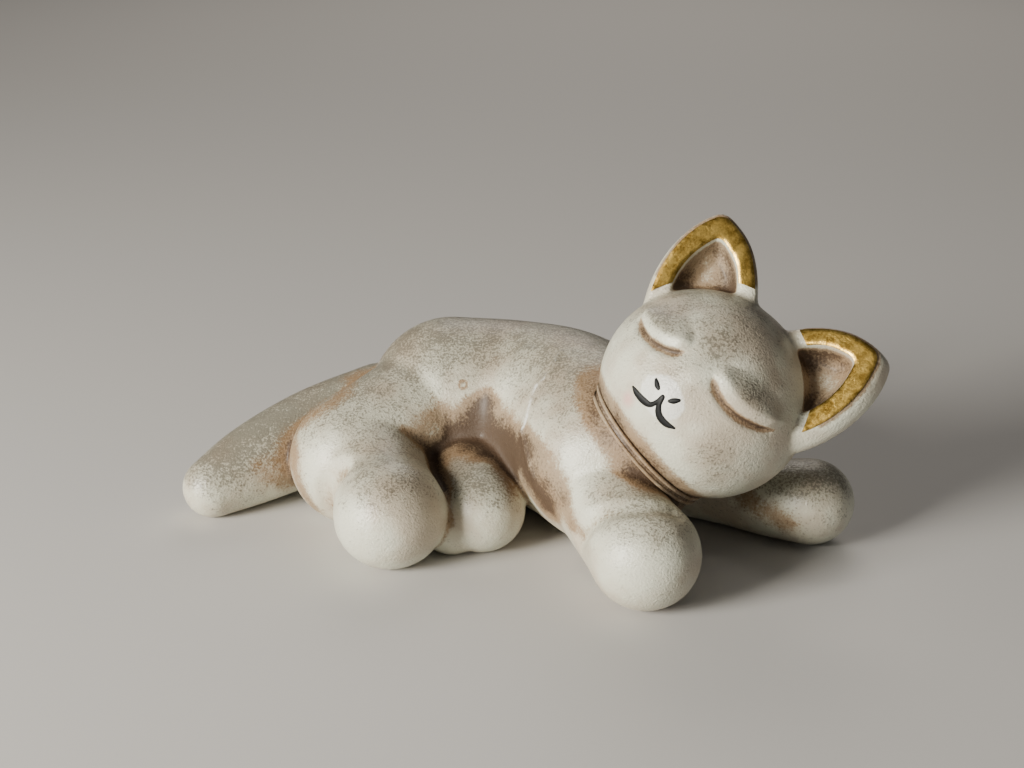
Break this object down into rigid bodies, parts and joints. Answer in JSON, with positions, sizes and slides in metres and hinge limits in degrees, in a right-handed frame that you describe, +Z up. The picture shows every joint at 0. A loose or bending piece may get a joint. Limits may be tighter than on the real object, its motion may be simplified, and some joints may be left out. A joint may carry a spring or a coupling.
{
  "type": "ceramic cat figurine",
  "caption": "Sleeping cat figurine lying on its belly, round head tilted over one foreleg, upright ears with gilt rims, closed eyes, pearly glaze with brown patina in the creases.",
  "frame": {"origin": "middle of the footprint, on the surface that the cat lies on", "axes": "+X runs from the tail to the head, -Y is the side that the paws and the face turn to, +Z is up"},
  "size_m": [0.1841, 0.1122, 0.089],
  "materials": {
    "glaze": "pearly greenish-white glaze, satin, with dark specks and brown patina rubbed into the creases",
    "gilt": "brushed-on gold lustre paint, satin",
    "enamel": "black enamel line, glossy"
  },
  "bodies": {
    "root": {"hind_body": "glaze", "fore_body": "glaze", "neck_ring": "glaze", "head": "glaze", "right_ear": "glaze", "left_ear": "glaze", "tail": "glaze", "right_hind_leg": "glaze", "left_hind_leg": "glaze", "right_foreleg": "glaze", "left_foreleg": "glaze", "right_ear_gilding": "gilt", "left_ear_gilding": "gilt", "mouth_line": "enamel", "right_nostril": "enamel", "left_nostril": "enamel"}
  },
  "joints": []
}
